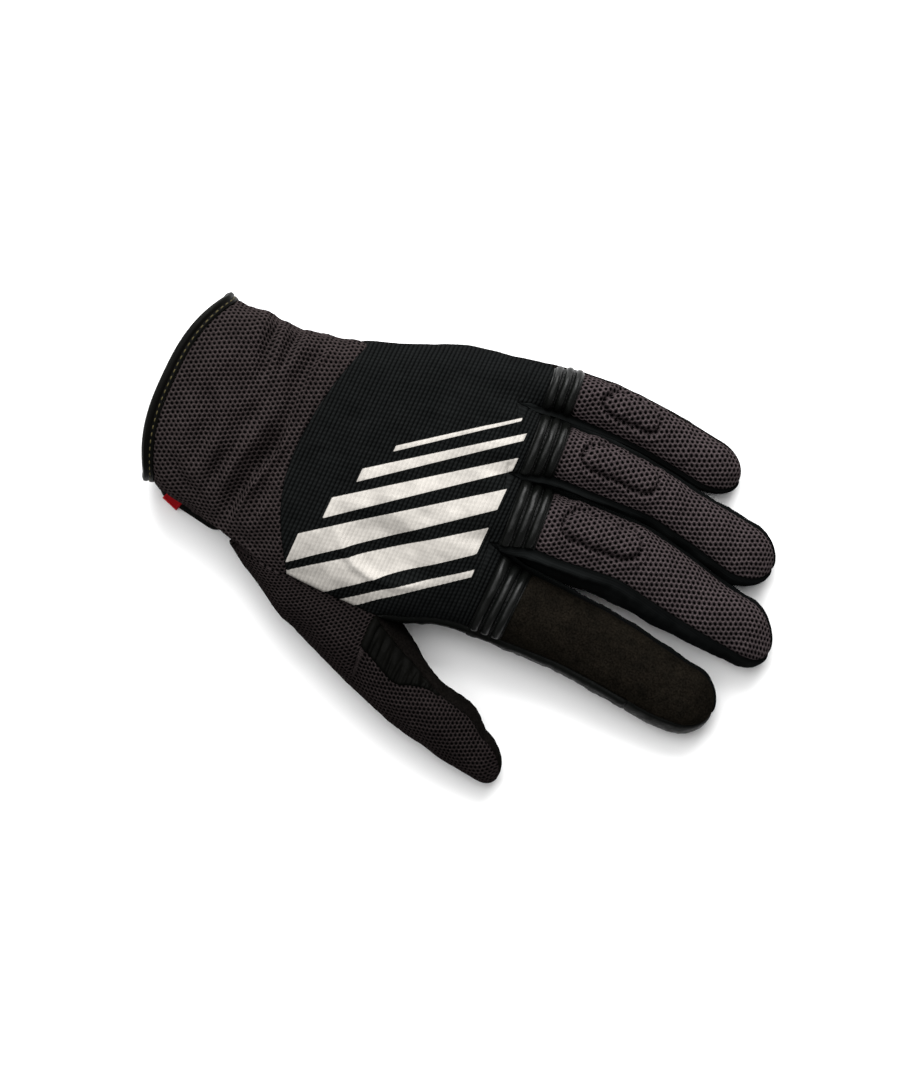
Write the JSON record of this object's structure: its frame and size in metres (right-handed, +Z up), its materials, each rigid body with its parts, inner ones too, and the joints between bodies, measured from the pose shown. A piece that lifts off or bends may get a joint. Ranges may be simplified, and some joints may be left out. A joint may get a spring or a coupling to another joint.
{
  "type": "motorcycle glove",
  "caption": "Light summer motorcycle glove for the left hand, hollow and lying on its palm, with a mesh cuff, ribbed back, padded leather knuckles and a thumb gusset.",
  "frame": {"origin": "centre of the glove's box on the surface that it lies on", "axes": "+X from the cuff to the fingertips, +Y from the thumb's side to the little finger's, +Z up out of the back of the hand"},
  "size_m": [0.2594, 0.1636, 0.0388],
  "materials": {
    "cuff": "charcoal air mesh, matt",
    "cuff_binding": "black goat leather, soft sheen",
    "closure_tab": "black goat leather, soft sheen",
    "back_panel": "black ribbed stretch cloth with pale printed bars, matt",
    "palm": "black synthetic suede, matt",
    "thumb_back": "charcoal air mesh, matt",
    "thumb_gusset": "black goat leather, soft sheen",
    "thumb_front": "black synthetic suede, matt",
    "index_side_strip": "black goat leather, soft sheen",
    "touch_tip_index": "black goat leather, soft sheen",
    "fourchette_index_middle": "black stretch knit, matt",
    "fourchette_middle_ring": "black stretch knit, matt",
    "fourchette_ring_little": "black stretch knit, matt",
    "knuckle_flex_index": "black goat leather, soft sheen",
    "knuckle_flex_middle": "black goat leather, soft sheen",
    "knuckle_flex_ring": "black goat leather, soft sheen",
    "knuckle_flex_little": "black goat leather, soft sheen",
    "finger_back_index": "black synthetic suede, matt",
    "finger_back_middle": "charcoal air mesh, matt",
    "finger_back_ring": "charcoal air mesh, matt",
    "finger_back_little": "charcoal air mesh, matt"
  },
  "bodies": {
    "root": {"cuff": "cuff", "cuff_binding": "cuff_binding", "closure_tab": "closure_tab", "back_panel": "back_panel", "palm": "palm", "thumb_back": "thumb_back", "thumb_gusset": "thumb_gusset", "thumb_front": "thumb_front", "index_side_strip": "index_side_strip", "touch_tip_index": "touch_tip_index", "fourchette_index_middle": "fourchette_index_middle", "fourchette_middle_ring": "fourchette_middle_ring", "fourchette_ring_little": "fourchette_ring_little", "knuckle_flex_index": "knuckle_flex_index", "knuckle_flex_middle": "knuckle_flex_middle", "knuckle_flex_ring": "knuckle_flex_ring", "knuckle_flex_little": "knuckle_flex_little", "finger_back_index": "finger_back_index", "finger_back_middle": "finger_back_middle", "finger_back_ring": "finger_back_ring", "finger_back_little": "finger_back_little"}
  },
  "joints": []
}
